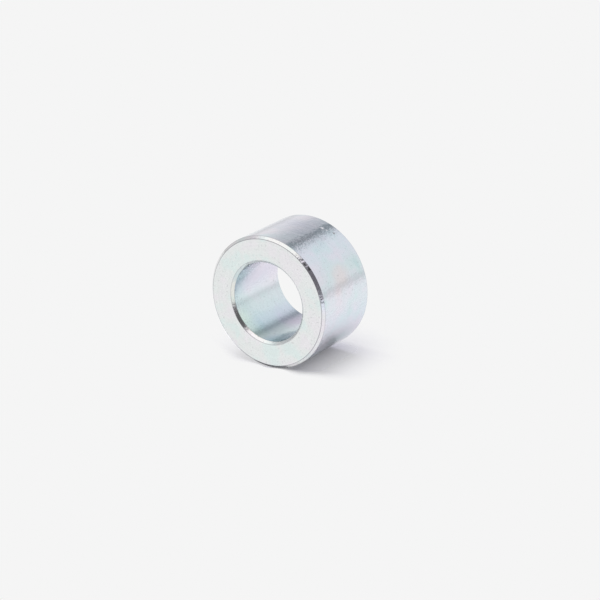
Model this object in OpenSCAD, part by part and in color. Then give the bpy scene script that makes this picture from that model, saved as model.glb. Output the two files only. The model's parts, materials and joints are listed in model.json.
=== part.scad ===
// Plain spacer bushing: one ring turned from steel bar, with a straight
// through bore and a chamfer on each of its four edges. Millimetres.
// The ring stands on one end face: the origin is the centre of that face,
// and the bore runs up +Z to the other one.

/* [Ring] */
// Outside diameter of the ring
outer_d = 20; // [16:0.1:40]
// Diameter of the through bore
bore_d = 12; // [5:0.1:13]
// Length of the ring, from end face to end face
ring_len = 11.7; // [5:0.1:40]

/* [Edges] */
// Width of the flat-cut chamfer at each end of the outside, seen on the end face
rim_chamfer_w = 0.4; // [0.1:0.05:0.7]
// Width of the chamfer at each mouth of the bore, seen on the end face
bore_chamfer_w = 0.4; // [0.1:0.05:0.7]
// Angle between a chamfer and the end face, in degrees
chamfer_angle = 45; // [30:1:60]

/* [Hidden] */

outer_r = outer_d / 2;
bore_r = bore_d / 2;
// How far each chamfer reaches along the axis
rim_chamfer_h = rim_chamfer_w * tan(chamfer_angle);
bore_chamfer_h = bore_chamfer_w * tan(chamfer_angle);
// Facets of the preview: the exact solid is round
turn_facets = 128;

// Half of the lengthwise section, at the radii that the tool cuts: x is the
// distance from the axis and y the height above the lower end face.
module ring_section() {
    polygon([
        // Lower end face
        [bore_r + bore_chamfer_w, 0],
        [outer_r - rim_chamfer_w, 0],
        // Outside
        [outer_r, rim_chamfer_h],
        [outer_r, ring_len - rim_chamfer_h],
        // Upper end face
        [outer_r - rim_chamfer_w, ring_len],
        [bore_r + bore_chamfer_w, ring_len],
        // Bore
        [bore_r, ring_len - bore_chamfer_h],
        [bore_r, bore_chamfer_h]
    ]);
}

// The finished ring, turned about its own axis
module bushing() {
    color([0.81, 0.84, 0.85])
        rotate_extrude($fn = turn_facets)
            ring_section();
}

bushing();
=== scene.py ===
# %% [markdown]
# A turned steel spacer bushing, bright zinc plated.
# The object is one short ring: a bar of steel was bored, faced at both ends and
# given a small chamfer on each of its four edges, and then zinc plated. The plating
# is blue-white, with faint green and pink tints, and it mirrors the studio softly.
# The lesson goes from the outside in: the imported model's sizes, the camera, the studio,
# the floor with its shadow, the tree that turns the ring, the plating, and last the
# ring itself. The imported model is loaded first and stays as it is. The ring that is
# made here takes its place in the picture.

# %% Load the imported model
import json
import math

import bmesh
import bpy
from mathutils import Matrix, Vector


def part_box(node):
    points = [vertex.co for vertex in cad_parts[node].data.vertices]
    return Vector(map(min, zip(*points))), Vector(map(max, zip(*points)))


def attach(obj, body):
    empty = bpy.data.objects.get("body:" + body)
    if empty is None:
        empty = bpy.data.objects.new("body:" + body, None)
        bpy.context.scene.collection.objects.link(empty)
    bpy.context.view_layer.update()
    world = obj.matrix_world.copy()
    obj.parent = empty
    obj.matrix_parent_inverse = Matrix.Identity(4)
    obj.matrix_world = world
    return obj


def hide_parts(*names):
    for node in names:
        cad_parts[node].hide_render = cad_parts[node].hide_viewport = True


# Millimetres in a metre
MM = 1000

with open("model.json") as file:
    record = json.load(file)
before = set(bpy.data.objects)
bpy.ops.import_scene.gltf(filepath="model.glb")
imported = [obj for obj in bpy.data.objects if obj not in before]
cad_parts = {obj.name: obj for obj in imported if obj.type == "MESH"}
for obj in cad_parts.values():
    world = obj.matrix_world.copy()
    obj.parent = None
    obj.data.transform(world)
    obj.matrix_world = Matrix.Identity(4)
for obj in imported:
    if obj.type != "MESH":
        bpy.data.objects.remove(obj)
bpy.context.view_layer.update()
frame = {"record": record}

# %% [markdown]
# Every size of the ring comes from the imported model, so none is fitted by eye. The
# node's box gives the outside radius and the length. The record's mounts give the
# bore's radius and the length of its straight wall, and what is left at each end of
# the bore is the chamfer.

# %% Read the ring's sizes
ring_low, ring_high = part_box("bushing")
mounts = {mount["name"]: mount for mount in frame["record"]["mounts"]}
OUTER_RADIUS = ring_high.x
RING_LENGTH = ring_high.z - ring_low.z
BORE_RADIUS = mounts["bore"]["dims"]["r_mm"] / MM
CHAMFER = (RING_LENGTH - mounts["bore"]["dims"]["length_mm"] / MM) / 2
print(f"outside radius {OUTER_RADIUS:.5f}, bore radius {BORE_RADIUS:.5f}")
print(f"length {RING_LENGTH:.5f}, chamfer {CHAMFER:.5f} metres")

# %% [markdown]
# The model stands on its end, and the photographed ring lies on its side. So the
# studio is turned instead of the ring: its floor is the upright plane that touches the
# ring's side at +Y, and "up" for the photographer is -Y. The camera's direction is then
# said as a photographer would say it: how far it is swung round from the ring's axis,
# and how steeply it looks down.

# %% Directions of the photograph
CAMERA_SWING = math.radians(34.66)
CAMERA_TILT = math.radians(21.5)
STUDIO_UP = Vector((0, -1, 0))
RING_AXIS = Vector((0, 0, 1))
SWING_SIDE = Vector((-1, 0, 0))

flat_heading = RING_AXIS * math.cos(CAMERA_SWING) + SWING_SIDE * math.sin(CAMERA_SWING)
to_camera = flat_heading * math.cos(CAMERA_TILT) + STUDIO_UP * math.sin(CAMERA_TILT)
picture_right = STUDIO_UP.cross(to_camera).normalized()
picture_up = to_camera.cross(picture_right)
print("towards the camera:", [round(c, 3) for c in to_camera])

# %% [markdown]
# Two measures of the picture place the camera: where the centre of the near end face
# lies, and how wide the outside diameter would be if it were seen square on. The
# distance sets how strong the perspective is, and the lens then makes the width right.
# The Standard view shows tones as they are, so they can be compared with the picture.

# %% Place the camera
PICTURE_PX = 600
# From the left and from the top of the picture
FACE_CENTRE_PX = (266.5, 302.9)
OUTER_DIAMETER_PX = 138.93
CAMERA_DISTANCE = 0.320
SENSOR_MM = 36.0
CLIP_START = 0.005

scale_px = OUTER_DIAMETER_PX / (2 * OUTER_RADIUS)
offset_right = (FACE_CENTRE_PX[0] - PICTURE_PX / 2) / scale_px
offset_up = (PICTURE_PX / 2 - FACE_CENTRE_PX[1]) / scale_px
face_centre = Vector((0, 0, RING_LENGTH))
camera_place = (
    face_centre
    - picture_right * offset_right
    - picture_up * offset_up
    + to_camera * CAMERA_DISTANCE
)

camera_data = bpy.data.cameras.new("camera")
camera_data.sensor_width = SENSOR_MM
camera_data.lens = SENSOR_MM * scale_px * CAMERA_DISTANCE / PICTURE_PX
camera_data.clip_start = CLIP_START
camera = bpy.data.objects.new("camera", camera_data)
turn = Matrix((picture_right, picture_up, to_camera)).transposed().to_4x4()
camera.matrix_world = Matrix.Translation(camera_place) @ turn
bpy.context.scene.collection.objects.link(camera)
bpy.context.scene.camera = camera
bpy.context.scene.view_settings.view_transform = "Standard"
print(f"lens {camera_data.lens:.1f} mm, camera at {[round(c, 4) for c in camera_place]}")

# %% [markdown]
# Shaders and Geometry Nodes are graphs, and their sums are easier to read as Python.
# Wire holds one output of a graph. Signs such as + and * between wires, or between a
# wire and a number, add Math nodes. Vectors and colours have their own methods,
# because a Math node would turn them grey. Every other node comes from one method, and
# the colours of a ramp are one of its settings.

# %% A wire that does its sums in nodes
def colour(red, green, blue):
    """A colour in linear light, as a node's socket takes it."""
    return (red, green, blue, 1.0)


def lay_stops(bar, stops):
    """Lays tints along a colour ramp, smooth from stop to stop."""
    bar.interpolation = "EASE"
    while len(bar.elements) < len(stops):
        bar.elements.new(0.5)
    for element, (position, tint) in zip(bar.elements, stops):
        element.position = position
        element.color = colour(*tint)


class Wire:
    """One output of a node tree, which Python's own signs can work with."""

    def __init__(self, tree, socket=None):
        self.tree = tree
        self.socket = socket

    def node(self, kind, settings=None, inputs=None, output=0):
        """Adds a node: its settings first, then its sockets' values or links.

        The new wire holds the output that is asked for.
        """
        made = self.tree.nodes.new(kind)
        for name, value in (settings or {}).items():
            if name == "stops":
                lay_stops(made.color_ramp, value)
            else:
                setattr(made, name, value)
        for name, value in (inputs or {}).items():
            if isinstance(value, Wire):
                self.tree.links.new(value.socket, made.inputs[name])
            else:
                made.inputs[name].default_value = value
        return Wire(self.tree, made.outputs[output] if len(made.outputs) else None)

    def math(self, operation, *values):
        """A Math node on numbers and single values."""
        return self.node("ShaderNodeMath", {"operation": operation}, dict(enumerate(values)))

    def __add__(self, other):
        return self.math("ADD", self, other)

    def __sub__(self, other):
        return self.math("SUBTRACT", self, other)

    def __rsub__(self, other):
        return self.math("SUBTRACT", other, self)

    def __mul__(self, other):
        return self.math("MULTIPLY", self, other)

    def __truediv__(self, other):
        return self.math("DIVIDE", self, other)

    def __rtruediv__(self, other):
        return self.math("DIVIDE", other, self)

    def __pow__(self, other):
        return self.math("POWER", self, other)

    def __rpow__(self, other):
        return self.math("POWER", other, self)

    __radd__ = __add__
    __rmul__ = __mul__

    def scaled(self, factor):
        """This vector times one number."""
        settings = {"operation": "SCALE"}
        return self.node("ShaderNodeVectorMath", settings, {0: self, "Scale": factor})

    def along(self, direction):
        """How far this vector reaches in a fixed direction."""
        settings = {"operation": "DOT_PRODUCT"}
        return self.node("ShaderNodeVectorMath", settings, {0: self, 1: direction}, "Value")

    def away(self, point):
        """How far this point lies from a fixed one."""
        settings = {"operation": "DISTANCE"}
        return self.node("ShaderNodeVectorMath", settings, {0: self, 1: point}, "Value")

    def parts(self):
        """The x, y and z of this vector."""
        split = self.node("ShaderNodeSeparateXYZ", None, {0: self})
        return [Wire(self.tree, s) for s in split.socket.node.outputs]

    def vector(self, x, y, z):
        """A vector from three values."""
        return self.node("ShaderNodeCombineXYZ", None, {0: x, 1: y, 2: z})

    def step(self, low, high):
        """0 where this value is at low, 1 where it is at high, and smooth between."""
        settings = {"interpolation_type": "SMOOTHSTEP"}
        limits = {"Value": self, "From Min": low, "From Max": high}
        return self.node("ShaderNodeMapRange", settings, limits)

    def blend(self, colour_at_0, colour_at_1):
        """A colour between two colours, with this value as the share of the second."""
        settings = {"data_type": "RGBA"}
        return self.node("ShaderNodeMix", settings, {0: self, 6: colour_at_0, 7: colour_at_1}, 2)

    def tinted(self, tint):
        """This value or colour, multiplied by a colour."""
        settings = {"data_type": "RGBA", "blend_type": "MULTIPLY"}
        return self.node("ShaderNodeMix", settings, {0: 1.0, 6: self, 7: tint}, 2)

    def ramp(self, stops):
        """The colour that lies at this value on a ramp."""
        return self.node("ShaderNodeValToRGB", {"stops": stops}, {0: self})

    def shader(self, shader_at_0, shader_at_1):
        """A shader between two shaders, with this value as the share of the second."""
        return self.node("ShaderNodeMixShader", None, {0: self, 1: shader_at_0, 2: shader_at_1})


WHITE = colour(1, 1, 1)
print("wire ready")

# %% [markdown]
# A plated ring is mostly a mirror, so the studio round it is half of its look. A real
# studio would be paper, cloth and lamps. Here it is painted as a sky, because on so
# small a ring a reflection hardly depends on more than its direction, and a painted sky
# sends out exactly the light that the metal should show. Directions are measured from
# the picture: straight back is away from the camera along the floor. The bearing grows
# to the right and the elevation upwards, both in degrees.

# %% Directions in the studio
STUDIO_BACK = -flat_heading
STUDIO_RIGHT = picture_right
DEGREES = 180 / math.pi

world = bpy.data.worlds.new("studio")
world.use_nodes = True
world.node_tree.nodes.clear()
bpy.context.scene.world = world
sky = Wire(world.node_tree)
gaze = sky.node("ShaderNodeTexCoord", None, None, "Generated")
bearing = sky.math("ARCTAN2", gaze.along(STUDIO_RIGHT), gaze.along(STUDIO_BACK)) * DEGREES
elevation = sky.math("ARCSINE", gaze.along(STUDIO_UP)) * DEGREES
print("studio directions:", [round(c, 3) for c in STUDIO_BACK], [round(c, 3) for c in STUDIO_RIGHT])

# %% [markdown]
# Three papers stand round the ring. The one behind it loses light with height, the one
# on the right is evenly lit, and the one on the left is dimmer. Each level is the light
# that a part sends out: 1 is white. Each pair of degrees, here and in the next cells,
# says where a part starts and where it is fully there.

# %% The three papers
PAPER_LOW = 1.02
PAPER_HIGH = 0.56
PAPER_DIMS = (10, 48)
SIDE_PAPER = 1.08
SIDE_STARTS = (24, 34)
LEFT_PAPER = 0.78
LEFT_STARTS = (-20, -55)

paper_drop = elevation.step(*PAPER_DIMS)
paper_back = PAPER_LOW + paper_drop * (PAPER_HIGH - PAPER_LOW)
papers = paper_back + bearing.step(*SIDE_STARTS) * (SIDE_PAPER - paper_back)
papers = papers + bearing.step(*LEFT_STARTS) * (LEFT_PAPER - papers)
print("paper levels:", PAPER_LOW, PAPER_HIGH, SIDE_PAPER, LEFT_PAPER)

# %% [markdown]
# In the photograph a dark streak runs along the upper wall of the ring. A gap between
# the back paper and the right one, with darkness behind it, gives such a streak. It
# starts about 30 degrees up and leans to the right higher up. Its left side is crisp,
# and its right side fades in two steps, a short one and a long one.

# %% The gap between two papers
GAP_LEVEL = 0.33
GAP_LEFT = (16, 21)
GAP_SHORT_FADE = (29, 21)
GAP_LONG_FADE = (52, 21)
GAP_SHORT_SHARE = 0.6
GAP_STARTS = (26, 36)
GAP_LEAN_FROM = 38.5
GAP_LEAN = 2.2

lean = sky.math("MAXIMUM", 0, elevation - GAP_LEAN_FROM) * GAP_LEAN
upright = bearing - lean
long_fade = upright.step(*GAP_LONG_FADE) ** 2
fades = upright.step(*GAP_SHORT_FADE) * GAP_SHORT_SHARE + long_fade * (1 - GAP_SHORT_SHARE)
gap = upright.step(*GAP_LEFT) * fades * elevation.step(*GAP_STARTS)
papers = papers + gap * (GAP_LEVEL - papers)
print("gap level", GAP_LEVEL)

# %% [markdown]
# Behind the camera the room is dark, and the rim's chamfer mirrors it on its right
# side. High up hangs the key light, a broad soft disc a little to the left and on the
# camera's side. The angles of the key light are measured from its centre.

# %% The dark room and the key light
ROOM_LEVEL = 0.17
ROOM_STARTS = (100, 140)
KEY_LEVEL = 1.38
KEY_STARTS = (math.radians(43), math.radians(17))
KEY_LEFT = 0.38
KEY_FORWARD = 0.20
KEY_HEIGHT = 0.9

room = sky.math("ABSOLUTE", bearing).step(*ROOM_STARTS)
walls = papers + room * (ROOM_LEVEL - papers)
key_aim = STUDIO_UP * KEY_HEIGHT - STUDIO_RIGHT * KEY_LEFT - STUDIO_BACK * KEY_FORWARD
key = gaze.along(key_aim.normalized()).step(*[math.cos(angle) for angle in KEY_STARTS])
walls = walls + key * (KEY_LEVEL - walls)
print("key light at", [round(c, 3) for c in key_aim.normalized()])

# %% [markdown]
# Below the horizon the sky stands for the floor beyond the modelled sheet, which is
# a little darker straight behind the ring. Where paper and floor meet there is a soft
# dark seam, but not in the dark room.

# %% The floor beyond and its seam
FLOOR_LEVEL = 1.18
FAR_FLOOR_LEVEL = 0.98
FAR_STARTS = (60, 25)
HORIZON = (1, -1)
SEAM_WIDTH = 8
SEAM_LOSS = 0.19

to_far = sky.math("ABSOLUTE", bearing).step(*FAR_STARTS)
floor_beyond = FLOOR_LEVEL + to_far * (FAR_FLOOR_LEVEL - FLOOR_LEVEL)
studio = walls + elevation.step(*HORIZON) * (floor_beyond - walls)
seam = elevation.step(SEAM_WIDTH, 0) * elevation.step(-SEAM_WIDTH, 0) * (1 - room)
studio = studio * (1 - seam * SEAM_LOSS)
print("floor levels:", FLOOR_LEVEL, FAR_FLOOR_LEVEL)

# %% [markdown]
# The top of the paper and the gap are bluish, the room is faintly purple and the key
# light is faintly warm. The camera sees none of this, only one flat pale tone, as the
# photograph's background has it.

# %% Tint the studio and give the camera its background
BACKGROUND_TONE = 0.913
HIGH_PAPER_TINT = colour(0.99, 0.99, 1.04)
GAP_TINT = colour(0.90, 1.0, 1.06)
ROOM_TINT = colour(0.985, 0.955, 0.995)
KEY_TINT = colour(1.02, 0.98, 0.98)

tint = paper_drop.blend(WHITE, HIGH_PAPER_TINT)
tint = gap.blend(tint, GAP_TINT)
tint = room.blend(tint, ROOM_TINT)
tint = key.blend(tint, KEY_TINT)
is_camera = sky.node("ShaderNodeLightPath", None, None, "Is Camera Ray")
backdrop = is_camera.blend(studio.tinted(tint), colour(*[BACKGROUND_TONE] * 3))
light = sky.node("ShaderNodeBackground", None, {"Color": backdrop})
sky.node("ShaderNodeOutputWorld", None, {"Surface": light})
print("studio painted with", len(world.node_tree.nodes), "nodes")

# %% [markdown]
# The painted sky lights the floor evenly from all sides, which alone gives a weak
# shadow. One soft lamp high on the left throws the shadow that the ring has in the
# picture. The metal doesn't mirror it, because the sky already holds the key light.

# %% The lamp for the shadow
LAMP_BEARING = math.radians(-90)
LAMP_HEIGHT = math.radians(80)
LAMP_SOFTNESS = math.radians(45)
LAMP_STRENGTH = 4.0


def make_lamp():
    """A wide, distant lamp that shines from its bearing and height in the studio."""
    level = STUDIO_BACK * math.cos(LAMP_BEARING) + STUDIO_RIGHT * math.sin(LAMP_BEARING)
    source = level * math.cos(LAMP_HEIGHT) + STUDIO_UP * math.sin(LAMP_HEIGHT)
    data = bpy.data.lights.new("shadow_lamp", "SUN")
    data.energy = LAMP_STRENGTH
    data.angle = LAMP_SOFTNESS
    lamp = bpy.data.objects.new("shadow_lamp", data)
    lamp.rotation_euler = source.to_track_quat("Z", "Y").to_euler()
    lamp.visible_glossy = False
    bpy.context.scene.collection.objects.link(lamp)
    return lamp


print("lamp strength", make_lamp().data.energy)

# %% [markdown]
# The floor that the photographed ring lies on carries its shadow, and the metal
# mirrors it. A flat sheet that touches the ring's side is enough. It is round, so that
# it has no corners, and much wider than the part of it that will be seen.

# %% Make the floor
FLOOR_RADIUS = 0.16
FLOOR_SIDES = 64


def make_floor():
    """A round sheet in the plane that touches the ring's side, facing the ring."""
    mesh = bpy.data.meshes.new("floor")
    made = bmesh.new()
    bmesh.ops.create_circle(made, cap_ends=True, segments=FLOOR_SIDES, radius=FLOOR_RADIUS)
    tip_over = Matrix.Rotation(math.radians(90), 4, "X")
    drop = Matrix.Translation((0, OUTER_RADIUS, RING_LENGTH / 2))
    made.transform(drop @ tip_over)
    made.to_mesh(mesh)
    made.free()
    sheet = bpy.data.objects.new("floor", mesh)
    bpy.context.scene.collection.objects.link(sheet)
    return sheet


floor = make_floor()
print("floor faces", [round(c, 3) for c in floor.data.polygons[0].normal])

# %% [markdown]
# In the photograph the floor has no edge: only the shadow can be told from the
# background. So the sheet is solid in the shadow and fades into the background round
# it. The fade follows the shadow's outline, which was measured in the picture: it is
# cut off crisply under the near rim, soft on the right, and faint behind the ring.
# Its places and widths are in metres. x grows to the left in the picture, and z grows
# from the far end face to the near one.

# %% Where the camera sees the floor
SHADOW_CENTRE = -0.0036
SHADOW_WIDTH = 0.0084
SHADOW_WIDER_LEFT = 0.0044
SHADOW_CLEAR = (-0.573, 1.447)
LEFT_PART = (0, 0.0065)
RIGHT_PART = (-0.0015, -0.006)
FAR_RIGHT_PART = (-0.006, -0.018)
# The near edge: its z under the ring's middle, and how it runs back to both sides
EDGE_PLACE = 0.0120
EDGE_SLANT = 0.476
EDGE_ROUND = 0.0004
EDGE_OUT_LEFT = 0.00116
EDGE_SOFT = 0.0002
EDGE_SOFT_LEFT = 0.0019
EDGE_SOFT_RIGHT = 0.0019
EDGE_SOFT_FAR_RIGHT = 0.0039
# The far edge, and the fainter stretch behind the ring
BACK_START_LEFT = 0.004
BEHIND_STARTS = (-0.0005, -0.0035)
BEHIND_RING = 0.543


def seen_fade(paper, x, z):
    """How clear the sheet is to the camera: 0 in the shadow and 1 well outside it."""
    on_left = x.step(*LEFT_PART)
    width = SHADOW_WIDTH + on_left * SHADOW_WIDER_LEFT
    across = (x - SHADOW_CENTRE) / width
    runs_back = (x * x + EDGE_ROUND ** 2) ** 0.5 * EDGE_SLANT
    past = z - EDGE_PLACE + runs_back - on_left * EDGE_OUT_LEFT
    soft = EDGE_SOFT + on_left * EDGE_SOFT_LEFT + x.step(*RIGHT_PART) * EDGE_SOFT_RIGHT
    soft = soft + x.step(*FAR_RIGHT_PART) * EDGE_SOFT_FAR_RIGHT
    past_edge = paper.math("MAXIMUM", 0, past) / soft
    past_back = paper.math("MINIMUM", 0, z - on_left * BACK_START_LEFT) / width
    behind = z.step(*BEHIND_STARTS) * BEHIND_RING
    reach = across * across + past_edge * past_edge + past_back * past_back
    return ((reach + behind * behind) ** 0.5).step(*SHADOW_CLEAR)


print("shadow edge at z", EDGE_PLACE)

# %% [markdown]
# The wall close to the floor mirrors more of it than the shadow that the camera sees, so the metal
# gets a wider and simpler patch of the same sheet: a painted shadow, shaped by this fade. The
# patch's near edge gives the near rim its dark line where it touches the floor, a painted contact
# shadow seen in the mirror. It is crisp there, and runs back and softens to both sides.

# %% Where the metal sees the floor
MIRRORED_CENTRE = 0.0025
MIRRORED_WIDTH = 0.019
MIRRORED_CLEAR = (0, 2)
MIRRORED_EDGE = 0.0117
MIRRORED_LEFT_FROM = 0.001
MIRRORED_SLANT_LEFT = 0.5
MIRRORED_RIGHT_FROM = -0.0025
MIRRORED_SLANT_RIGHT = 0.9
MIRRORED_SOFT = 0.0004
MIRRORED_SOFT_ASIDE = 0.0050
MIRRORED_ASIDE = (0.003, 0.010)


def mirrored_fade(paper, x, z):
    """How clear the sheet is to the metal: 0 near the contact and 1 well away from it."""
    across = (x - MIRRORED_CENTRE) / MIRRORED_WIDTH
    to_left = paper.math("MAXIMUM", 0, x - MIRRORED_LEFT_FROM)
    to_right = paper.math("MINIMUM", 0, x - MIRRORED_RIGHT_FROM)
    past = z - MIRRORED_EDGE + to_left * MIRRORED_SLANT_LEFT - to_right * MIRRORED_SLANT_RIGHT
    aside = paper.math("ABSOLUTE", x).step(*MIRRORED_ASIDE)
    past_edge = paper.math("MAXIMUM", 0, past) / (MIRRORED_SOFT + aside * MIRRORED_SOFT_ASIDE)
    past_back = paper.math("MINIMUM", 0, z) / MIRRORED_WIDTH
    reach = across * across + past_edge * past_edge + past_back * past_back
    return (reach ** 0.5).step(*MIRRORED_CLEAR)


print("mirrored edge at z", MIRRORED_EDGE)

# %% [markdown]
# The paper itself is a dull material. Its tone depends on who looks: the camera sees a cool grey,
# and the metal sees two neutral ones. The paler one, under the near half of the ring, is painted
# light. The darker one, at the near edge and behind, is painted shade. From behind, the sheet is
# clear to the camera, so that it never hides the ring in a view from the other side.

# %% Paint the floor
FLOOR_TONE = colour(0.34, 0.335, 0.41)
# Painted shade and painted light on the sheet as the metal sees it: a darker tone at the near edge
# and behind, a paler tone under the near half of the ring
MIRRORED_SHADE_TONE = colour(0.51, 0.51, 0.54)
MIRRORED_LIGHT_TONE = colour(0.93, 0.93, 0.97)
LIGHT_RISES = (0, 0.010)
LIGHT_ENDS = (0.0114, 0.0100)


def paint_floor():
    """Dull paper that is clear outside the shadow and from behind."""
    material = bpy.data.materials.new("floor_paper")
    material.use_nodes = True
    material.node_tree.nodes.clear()
    paper = Wire(material.node_tree)
    x, y, z = paper.node("ShaderNodeTexCoord", None, None, "Object").parts()
    rays = paper.node("ShaderNodeLightPath").socket.node.outputs
    direct = Wire(paper.tree, rays["Is Camera Ray"])
    mirrored = Wire(paper.tree, rays["Is Glossy Ray"])
    loose = mirrored_fade(paper, x, z)
    fade = loose + direct * (seen_fade(paper, x, z) - loose)
    # Share of the paler, painted light tone under the near half of the ring; elsewhere the metal
    # sees the painted shade tone
    pale = z.step(*LIGHT_RISES) * z.step(*LIGHT_ENDS)
    tone = mirrored.blend(FLOOR_TONE, pale.blend(MIRRORED_SHADE_TONE, MIRRORED_LIGHT_TONE))
    lit = paper.node("ShaderNodeBsdfDiffuse", None, {"Color": tone})
    clear = paper.node("ShaderNodeBsdfTransparent")
    behind = paper.node("ShaderNodeNewGeometry", None, None, "Backfacing") * direct
    gone = paper.math("MAXIMUM", fade, behind)
    paper.node("ShaderNodeOutputMaterial", None, {"Surface": gone.shader(lit, clear)})
    return material


floor.data.materials.append(paint_floor())
print("floor paper has", len(floor.data.materials[0].node_tree.nodes), "nodes")

# %% [markdown]
# The ring is a shape with a rule: one closed section, swept round an axis, as a lathe
# makes it. Geometry Nodes can say exactly that. A rectangle is the section of the bored
# bar. A fillet of one straight step cuts the chamfers, and a second, tiny fillet breaks
# the sharp corners, because a real tool and the plating never leave them sharp.

# %% Draw the section
EDGE_STEPS = 3
# Extra points on each line of the section
LONG_CUTS = 2


def section_of(lathe, outer, bore, length, chamfer, edge):
    """The closed section of the ring's wall, with its chamfers and broken corners."""
    bar = {"Width": outer - bore, "Height": length}
    section = lathe.node("GeometryNodeCurvePrimitiveQuadrilateral", {"mode": "RECTANGLE"}, bar)
    for count, radius in ((1, chamfer), (EDGE_STEPS, edge)):
        cut = {"Curve": section, "Count": count, "Radius": radius}
        section = lathe.node("GeometryNodeFilletCurve", {"mode": "POLY"}, cut)
    return lathe.node("GeometryNodeSubdivideCurve", None, {"Curve": section, "Cuts": LONG_CUTS})


print("steps in each broken corner:", EDGE_STEPS)

# %% [markdown]
# The section is swept along a circle. The surface is then shaded smooth, apart from
# the edges where it bends, so that the chamfers stay crisp in the mirror finish.

# %% Sweep the section and shade the surface
# Steps once round the ring
TURN_STEPS = 640
CREASE_ANGLE = math.radians(4)


def swept(lathe, section, middle, length):
    """The section swept round the axis, and lifted to stand on its lower end face."""
    around = {"Resolution": TURN_STEPS, "Radius": middle}
    path = lathe.node("GeometryNodeCurvePrimitiveCircle", {"mode": "RADIUS"}, around)
    ring = lathe.node("GeometryNodeCurveToMesh", None, {"Curve": path, "Profile Curve": section})
    lift = lathe.vector(0, 0, length * 0.5)
    return lathe.node("GeometryNodeSetPosition", None, {"Geometry": ring, "Offset": lift})


def crisply_smooth(lathe, ring):
    """The ring shaded smooth, apart from its edges that bend more than the crease angle."""
    ring = lathe.node("GeometryNodeSetShadeSmooth", None, {0: ring})
    bend = lathe.node("GeometryNodeInputMeshEdgeAngle", None, None, "Unsigned Angle")
    crease = lathe.node("FunctionNodeCompare", {"data_type": "FLOAT"}, {0: bend, 1: CREASE_ANGLE})
    hard = {"Geometry": ring, "Selection": crease, "Shade Smooth": False}
    return lathe.node("GeometryNodeSetShadeSmooth", {"domain": "EDGE"}, hard)


print("steps once round:", TURN_STEPS)

# %% [markdown]
# The chamfer of the photographed ring has small knocks in it, mostly in three places.
# They could be cut one by one, but they are many and have no shape of their own. So a
# noise pattern presses the rim's points inwards by up to a few hundredths of a
# millimetre, and it presses more of them where the ring was knocked.

# %% Dent the rim
# Places round the rim that took knocks, as an angle and a half width in degrees
KNOCKS = ((-129, 9), (-165, 4), (-100, 4))
KNOCK_GAIN = 0.16
NICK_LEVELS = (0.62, 0.72)
NICK_SCALE = 3.0
NICK_DETAIL = 3.0
# How much of the chamfer's width the dents take to grow to their depth
RIM_BORDER = 0.3


def nicked(lathe, ring, outer, length, chamfer, depth, seed):
    """The ring with small dents in its outer chamfers, most where it was knocked."""
    place = lathe.node("GeometryNodeInputPosition")
    x, y, z = place.parts()
    border = chamfer * RIM_BORDER
    out = (x * x + y * y) ** 0.5 - (outer - chamfer)
    end = lathe.math("ABSOLUTE", z - length * 0.5) - (length * 0.5 - chamfer)
    on_rim = out.step(0, border) * end.step(0, border)
    grain = {"Vector": place.scaled(MM), "W": seed, "Scale": NICK_SCALE, "Detail": NICK_DETAIL}
    noise = lathe.node("ShaderNodeTexNoise", {"noise_dimensions": "4D"}, grain)
    turn = lathe.math("ARCTAN2", y, x) * DEGREES
    knocked = 0
    for angle, width in KNOCKS:
        away = lathe.math("ABSOLUTE", turn - angle)
        knocked = lathe.math("MAXIMUM", knocked, away.step(width, width * 0.5))
    dent = (noise + knocked * KNOCK_GAIN).step(*NICK_LEVELS) * on_rim * depth
    inward = lathe.node("GeometryNodeInputNormal").scaled(dent * -1)
    return lathe.node("GeometryNodeSetPosition", None, {"Geometry": ring, "Offset": inward})


print("knocked places:", len(KNOCKS))

# %% [markdown]
# The pieces of the recipe are joined in one tree with named inputs, so that the same
# tree can turn a ring of another size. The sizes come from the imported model, and only
# the broken corners and the dents are set here.

# %% Build the turning tree
EDGE_BREAK = 0.00008
NICK_DEPTH = 0.00003
NICK_SEED = 3.0
INPUTS = (
    ("Outer Radius", OUTER_RADIUS),
    ("Bore Radius", BORE_RADIUS),
    ("Length", RING_LENGTH),
    ("Chamfer", CHAMFER),
    ("Edge Break", EDGE_BREAK),
    ("Nick Depth", NICK_DEPTH),
    ("Nick Seed", NICK_SEED),
)


def turning_tree():
    """The node tree that turns the ring from a few sizes."""
    tree = bpy.data.node_groups.new("turned_ring", "GeometryNodeTree")
    tree.interface.new_socket("Geometry", in_out="INPUT", socket_type="NodeSocketGeometry")
    for name, value in INPUTS:
        made = tree.interface.new_socket(name, in_out="INPUT", socket_type="NodeSocketFloat")
        made.default_value = value
    tree.interface.new_socket("Finish", in_out="INPUT", socket_type="NodeSocketMaterial")
    tree.interface.new_socket("Geometry", in_out="OUTPUT", socket_type="NodeSocketGeometry")
    lathe = Wire(tree)
    sizes = [Wire(tree, socket) for socket in tree.nodes.new("NodeGroupInput").outputs]
    outer, bore, length, chamfer, edge, depth, seed, finish = sizes[1:9]
    section = section_of(lathe, outer, bore, length, chamfer, edge)
    ring = swept(lathe, section, (outer + bore) * 0.5, length)
    ring = crisply_smooth(lathe, ring)
    ring = nicked(lathe, ring, outer, length, chamfer, depth, seed)
    ring = lathe.node("GeometryNodeRealizeInstances", None, {"Geometry": ring})
    ring = lathe.node("GeometryNodeSetMaterial", None, {"Geometry": ring, "Material": finish})
    lathe.node("NodeGroupOutput", None, {0: ring})
    return tree


tree = turning_tree()
print("turning tree has", len(tree.nodes), "nodes")

# %% [markdown]
# Zinc plating is a thin, bright metal coat. A last bath leaves a clear film on it, so
# thin that it tints the reflections: mostly blue-white, in places green or pink. One
# metal material can carry all of this, with masks and patterns that feed its colour,
# its roughness and its bumps. They are worked out in the ring's own coordinates, in
# millimetres, because a pattern that hangs on the real sizes needs no unwrapped mesh.

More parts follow.
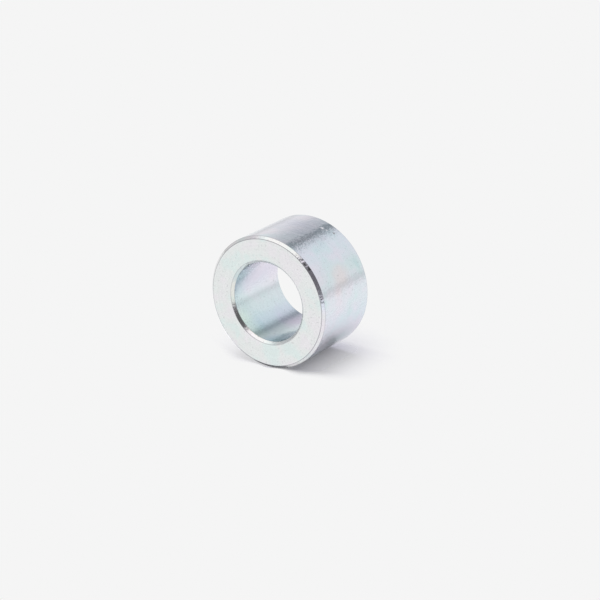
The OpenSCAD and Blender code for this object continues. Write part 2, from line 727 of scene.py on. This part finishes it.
# %% Start the zinc and measure its surface
OUTER_MM = OUTER_RADIUS * MM
BORE_MM = BORE_RADIUS * MM
CHAMFER_MM = CHAMFER * MM
LENGTH_MM = RING_LENGTH * MM
HALF_MM = LENGTH_MM / 2

zinc_plate = bpy.data.materials.new("zinc_plate")
zinc_plate.use_nodes = True
zinc_plate.node_tree.nodes.clear()
zinc = Wire(zinc_plate.node_tree)
place = zinc.node("ShaderNodeTexCoord", None, None, "Object").scaled(MM)
x, y, z = place.parts()
radius = (x * x + y * y) ** 0.5
from_middle = zinc.math("ABSOLUTE", z - HALF_MM)
depth = LENGTH_MM - z
print(f"ring in mm: outside {OUTER_MM:.2f}, bore {BORE_MM:.2f}, length {LENGTH_MM:.2f}")

# %% [markdown]
# Each surface of the ring was cut by its own tool and looks a little different, so each
# gets a mask: 1 on it and 0 elsewhere, with a soft border. They are the end faces, the
# ends with their chamfers, the bore, the chamfer at the bore's mouth and the one at the
# rim.

# %% Masks for the turned surfaces
BORDER_MM = 0.02
MOUTH_MM = BORE_MM + CHAMFER_MM
RIM_MM = OUTER_MM - CHAMFER_MM
WALL_END_MM = HALF_MM - CHAMFER_MM

on_face = from_middle.step(HALF_MM - 3 * BORDER_MM, HALF_MM - BORDER_MM)
on_end = from_middle.step(WALL_END_MM - 2 * BORDER_MM, WALL_END_MM + 2 * BORDER_MM)
in_bore = radius.step(BORE_MM + 5 * BORDER_MM, BORE_MM)
in_mouth = on_end * radius.step(MOUTH_MM + BORDER_MM, MOUTH_MM)
on_rim = on_end * (1 - on_face) * radius.step(RIM_MM - BORDER_MM, RIM_MM)
print(f"chamfers from {MOUTH_MM:.2f} inwards and from {RIM_MM:.2f} outwards")

# %% [markdown]
# The film's tint changes in broad patches, with smaller ones in them. Noise gives each
# place a value, like a thickness, and a colour ramp turns it into a tint. In the bore
# the photograph shows the tint change with depth, and differ between the upper left and
# the lower side, so there the value also depends on these. The end faces have a paler
# ramp of their own.

# %% The film's tints
PATCH_SCALE = 0.32
PATCH_DETAIL = 3.0
BORE_FILM = 0.32
BORE_FILM_PER_MM = 0.011
BORE_PATCHES = 0.35
UPPER_LEFT = (0.87, -0.5)
UPPER_GAIN = 0.25
UPPER_SIDE = (0.6, 0.98)
UPPER_DEPTH = (0, 5)
LOWER_LOSS = 0.06
LOWER_SIDE = (0.2, 1)
LOWER_DEPTH = (6, 0)
# The film's value and its tint there, in rising order
FILM_STOPS = (
    (0.22, (0.49, 0.62, 0.635)),
    (0.36, (0.565, 0.655, 0.675)),
    (0.46, (0.60, 0.65, 0.69)),
    (0.56, (0.625, 0.64, 0.69)),
    (0.68, (0.655, 0.635, 0.69)),
)
FACE_STOPS = (
    (0.36, (0.615, 0.69, 0.675)),
    (0.50, (0.66, 0.685, 0.675)),
    (0.65, (0.68, 0.674, 0.688)),
)


def noise(point, scale, detail):
    """Random patches from 0 to 1. A larger scale gives smaller ones."""
    return zinc.node("ShaderNodeTexNoise", None, {"Vector": point, "Scale": scale, "Detail": detail})


patches = noise(place, PATCH_SCALE, PATCH_DETAIL)
upper = ((x * UPPER_LEFT[0] + y * UPPER_LEFT[1]) / BORE_MM).step(*UPPER_SIDE)
upper = upper * depth.step(*UPPER_DEPTH)
lower = (y / BORE_MM).step(*LOWER_SIDE) * depth.step(*LOWER_DEPTH)
bore_film = BORE_FILM + upper * UPPER_GAIN + depth * BORE_FILM_PER_MM
bore_film = bore_film + (patches - 0.5) * BORE_PATCHES - lower * LOWER_LOSS
wall_film = (patches + in_bore * (bore_film - patches)).ramp(FILM_STOPS)
print("film has", len(FILM_STOPS), "tints on the walls and", len(FACE_STOPS), "on the ends")

# %% [markdown]
# Some larger stains can be told apart in the photograph. Each is given as a soft round spot, and the
# patches of the film make its outline uneven.

# %% Stains on the walls
# Where each stain is in millimetres, how wide it is, and its tint
STAINS = (
    ((-9.2, -4.0, 5.9), 2.4, (0.645, 0.615, 0.63)),
    ((-9.7, -2.4, 7.7), 1.7, (0.66, 0.62, 0.66)),
    ((1.2, -9.9, 4.5), 6.5, (0.56, 0.57, 0.65)),
    ((5.4, -2.7, 5.3), 1.8, (0.67, 0.64, 0.675)),
    ((4.3, -4.2, 8.0), 2.2, (0.70, 0.67, 0.71)),
    ((0.9, 5.9, 3.0), 3.6, (0.64, 0.61, 0.715)),
)
# How far the patches push a stain's outline in and out, in widths
STAIN_RAGGED = 2

for spot, width, stain in STAINS:
    off_spot = place.away(spot) + (patches - 0.5) * width * STAIN_RAGGED
    wall_film = off_spot.step(width, 0).blend(wall_film, colour(*stain))
film = on_end.blend(wall_film, patches.ramp(FACE_STOPS))
print("stains:", len(STAINS))

# %% [markdown]
# The cutting tool left fine rings, which the plating follows. They are a noise that
# changes fast across each turned surface and slowly round it. Radius and height are
# added to one value, so the same rings run over the walls, the faces and the chamfers.
# A second, even noise is the grain of the coat.

# %% Turning marks and grain
MARKS_ALONG_AXIS = 1.4
MARKS_ACROSS = 1.5
MARKS_ROUND = 0.1
MARKS_SCALE = 1.6
MARKS_DETAIL = 4.0
GRAIN_SCALE = 5.0
GRAIN_DETAIL = 3.0
FILM_LEVEL = 0.93
FILM_GAIN_IN_BORE = 0.02
GRAIN_SHARE = 0.14
MARKS_SHARE = 0.10

across = (radius + z * MARKS_ALONG_AXIS) * MARKS_ACROSS
rings = zinc.vector(across, x * MARKS_ROUND, y * MARKS_ROUND)
marks = noise(rings, MARKS_SCALE, MARKS_DETAIL)
grain = noise(place, GRAIN_SCALE, GRAIN_DETAIL)
mottled = FILM_LEVEL + in_bore * FILM_GAIN_IN_BORE + grain * GRAIN_SHARE
base = (mottled + (marks - 0.5) * MARKS_SHARE).tinted(film)
print("marks and grain change the level by", MARKS_SHARE, "and", GRAIN_SHARE)

# %% [markdown]
# Where a chamfer meets a face or the wall, a thin grey line is painted, uneven along its length:
# painted shade for the dark line that these edges show in the mirror. A line round the ring is the
# set of points at one radius and one height, so the distance from those two numbers draws it.

# %% Painted shade along the edges
EDGE_SHADE_TONE = colour(0.26, 0.25, 0.28)
LINE_MM = (0.09, 0.03)
RIM_EDGE_SHADE = 0.7
MOUTH_EDGE_SHADE = 0.3
CORNER_EDGE_SHADE = 0.4
LEAST_EDGE_SHADE = 0.5


def edge_line(edge_radius, drop):
    """A thin line round the ring, at a radius and a distance below the end face."""
    off_radius = radius - edge_radius
    off_face = from_middle - (HALF_MM - drop)
    return ((off_radius * off_radius + off_face * off_face) ** 0.5).step(*LINE_MM)


# Painted shade: thin dark lines where the chamfers meet the faces and the wall
edge_shade = edge_line(RIM_MM, 0) * RIM_EDGE_SHADE + edge_line(MOUTH_MM, 0) * MOUTH_EDGE_SHADE
edge_shade = (edge_shade + edge_line(OUTER_MM, CHAMFER_MM) * CORNER_EDGE_SHADE) * (LEAST_EDGE_SHADE + grain)
base = edge_shade.blend(base, EDGE_SHADE_TONE)
print("worn lines at", [round(r, 2) for r in (RIM_MM, MOUTH_MM, OUTER_MM)])

# %% [markdown]
# The coat has small dark specks all over. The peaks of one more noise make them.

# %% Specks
SPECK_SCALE = 3.4
SPECK_DETAIL = 3.0
SPECK_LEVELS = (0.61, 0.70)
SPECK_SHARE = 0.3
SPECK_TONE = colour(0.34, 0.34, 0.36)

spots = noise(place, SPECK_SCALE, SPECK_DETAIL)
specks = spots.step(*SPECK_LEVELS)
base = (specks * SPECK_SHARE).blend(base, SPECK_TONE)
print("specks where the noise is over", SPECK_LEVELS[0])

# %% [markdown]
# The chamfer at the bore's mouth isn't alike all round. On its right side it is rough, and its
# colour is painted paler there: painted light for the brightness that many reflections round the
# mouth give. On its left it has a duller, a creamy and a slightly rougher stretch. A side of the
# ring is picked by the direction in which it lies from the axis, and a tint is multiplied in there.

# %% The bore's mouth
# Each side: its direction as x and y, and the cosines where it starts and is full
LIT_ROUGH_SIDE = (-0.88, -0.48, -0.2, 0.05)
DULL_SIDE = (0.82, -0.57, 0.93, 0.985)
CREAM_SIDE = (1.0, -0.05, 0.93, 0.99)
SOFT_SIDE = (0.94, 0.34, 0.95, 1)
LIT_SIDE_SHARE = 0.6
LIT_SIDE_TONE = colour(0.80, 0.82, 0.84)
DULL_TINT = colour(0.84, 0.90, 0.90)
CREAM_TINT = colour(0.99, 1.0, 0.93)


def side(dx, dy, starts, full):
    """1 on the side of the ring that lies in one direction from the axis."""
    return ((x * dx + y * dy) / radius).step(starts, full)


def tinted_where(share, surface, tint):
    """The surface's colour, multiplied by a tint where the share is 1."""
    return surface.tinted(share.blend(WHITE, tint))


# Painted light: the right side of the mouth is blended towards a pale tone, and the same mask makes
# it rougher
lit_and_rough = side(*LIT_ROUGH_SIDE) * in_mouth
base = (lit_and_rough * LIT_SIDE_SHARE).blend(base, LIT_SIDE_TONE)
base = tinted_where(side(*DULL_SIDE) * in_mouth, base, DULL_TINT)
base = tinted_where(side(*CREAM_SIDE) * in_mouth, base, CREAM_TINT)
soft_end = side(*SOFT_SIDE) * in_mouth
print("pale share of the pressed side:", LIT_SIDE_SHARE)

# %% [markdown]
# In the bore a narrow band on the lower left is painted darker: a painted reflection that widens the
# dark streak which the bore mirrors there. Round the same place near the mouth the film is greener
# and brighter. The rim's chamfer is paler on its upper left side. On its upper right side, where it
# mirrors the dark room, it is rougher and more lilac.

# %% Sides of the bore and the rim
BORE_DARK_REFLECTION_SIDE = (0.5, 0.868, 0.94, 1)
BORE_GREEN_SIDE = (0.60, 0.80, 0.82, 1)
RIM_PALE_SIDE = (0.5, -0.87, 0.80, 0.97)
RIM_DARK_SIDE = (-0.87, -0.49, 0.86, 0.95)
BORE_DARK_REFLECTION_TINT = colour(0.90, 0.92, 0.95)
BORE_GREEN_TINT = colour(1.15, 1.11, 0.98)
GREEN_DEPTH = (3.5, 0.5)
RIM_PALE_TINT = colour(1.10, 1.05, 1.07)
RIM_LILAC_TINT = colour(1.06, 1.03, 1.14)

green_side = side(*BORE_GREEN_SIDE) * depth.step(*GREEN_DEPTH) * in_bore
dark_side = side(*RIM_DARK_SIDE) * on_rim
# Painted reflection: a darker band that widens the dark streak which the bore mirrors
base = tinted_where(side(*BORE_DARK_REFLECTION_SIDE) * in_bore, base, BORE_DARK_REFLECTION_TINT)
base = tinted_where(green_side, base, BORE_GREEN_TINT)
base = tinted_where(side(*RIM_PALE_SIDE) * on_rim, base, RIM_PALE_TINT)
base = tinted_where(dark_side, base, RIM_LILAC_TINT)
print("green tint down to", GREEN_DEPTH[0], "mm in the bore")

# %% [markdown]
# A ring that was handled has scuffs, small and irregular, some dark and some pale. The ones that the
# photograph shows are listed, like the stains but with harder edges, and the noise of the specks
# makes their outlines uneven.

# %% Scuffs
# Where each scuff is in millimetres, how wide it is, and how pale
SCUFFS = (
    ((-7.3, -6.75, 11.6), 0.34, 0.10),
    ((-6.6, -7.35, 11.6), 0.26, 0.14),
    ((-9.4, -2.8, 11.6), 0.24, 0.12),
    ((-3.4, -9.4, 2.5), 0.30, 0.88),
    ((-4.0, -9.15, 2.2), 0.20, 0.85),
    ((-4.9, -8.72, 1.7), 0.20, 0.36),
)
SCUFF_RAGGED = 4
SCUFF_BLUE = 1.03

scuffed = 0
for spot, width, tone in SCUFFS:
    off_spot = place.away(spot) + (spots - 0.5) * width * SCUFF_RAGGED
    share = off_spot.step(width, width * 0.5)
    base = share.blend(base, colour(tone, tone, tone * SCUFF_BLUE))
    scuffed = zinc.math("MAXIMUM", scuffed, share)
print("scuffs:", len(SCUFFS))

# %% [markdown]
# How blurred a reflection is says as much about a metal as its colour. The wall is nearly polished,
# the bore and the faced ends are less so, and scuffs and the right side of the mouth, whose colour
# is also painted paler, are rough. So every mask and pattern adds its own part to the wall's
# roughness.

# %% Roughness
WALL_ROUGH = 0.05
BORE_ADDS = 0.09
FACE_ADDS = 0.15
GRAIN_ADDS = 0.06
MARKS_ADD = 0.04
LIT_ROUGH_ADDS = 0.45
SCUFFS_ADD = 0.3
DARK_SIDE_ADDS = 0.14
SOFT_END_ADDS = 0.15

roughness = WALL_ROUGH + in_bore * BORE_ADDS + on_face * FACE_ADDS
roughness = roughness + grain * GRAIN_ADDS + marks * MARKS_ADD
roughness = roughness + lit_and_rough * LIT_ROUGH_ADDS + scuffed * SCUFFS_ADD
roughness = roughness + dark_side * DARK_SIDE_ADDS + soft_end * SOFT_END_ADDS
print("roughness of the plain wall", WALL_ROUGH)

# %% [markdown]
# The coat also has a slight unevenness, like the peel of an orange, which makes
# reflections wander. It is far too small for the mesh, so it is a bump. The turning
# marks, the grain and the specks are felt in it too.

# %% Relief and the finished plate
PEEL_SCALE = 1.9
PEEL_DETAIL = 1.0
PEEL_HEIGHT = 3.2
PEEL_LOSS_IN_BORE = 0.7
MARKS_HEIGHT = 0.4
SPECK_PIT = 0.5
RELIEF_METRES = 0.000008

peel = noise(place, PEEL_SCALE, PEEL_DETAIL) * (1 - in_bore * PEEL_LOSS_IN_BORE) * PEEL_HEIGHT
relief = marks * MARKS_HEIGHT + grain - specks * SPECK_PIT + peel
felt = {"Height": relief, "Distance": RELIEF_METRES, "Strength": 1.0}
bump = zinc.node("ShaderNodeBump", None, felt)
metal = {"Base Color": base, "Metallic": 1.0, "Roughness": roughness, "Normal": bump}
plate = zinc.node("ShaderNodeBsdfPrincipled", None, metal)
zinc.node("ShaderNodeOutputMaterial", None, {"Surface": plate})
print("zinc has", len(zinc_plate.node_tree.nodes), "nodes")

# %% [markdown]
# The tree needs an object to run on, and the exporter needs a plain mesh. So an empty
# object carries the tree once, and its result is kept as the ring. Its one material is
# the zinc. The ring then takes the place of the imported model's node on the same body.

# %% Turn the ring


def turn_ring():
    """Runs the tree once and keeps its result as a plain mesh."""
    blank = bpy.data.objects.new("blank", bpy.data.meshes.new("blank"))
    bpy.context.scene.collection.objects.link(blank)
    lathe = blank.modifiers.new("turning", "NODES")
    lathe.node_group = tree
    for item in tree.interface.items_tree:
        if item.name == "Finish":
            lathe[item.identifier] = zinc_plate
    turned = blank.evaluated_get(bpy.context.evaluated_depsgraph_get())
    mesh = bpy.data.meshes.new_from_object(turned)
    mesh.name = "bushing_ring"
    bpy.data.objects.remove(blank)
    ring = bpy.data.objects.new("bushing_ring", mesh)
    bpy.context.scene.collection.objects.link(ring)
    return ring


ring = turn_ring()
print("ring:", len(ring.data.vertices), "points,", len(ring.data.polygons), "faces")
print("materials", [m.name for m in ring.data.materials])

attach(ring, "root")
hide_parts("bushing")
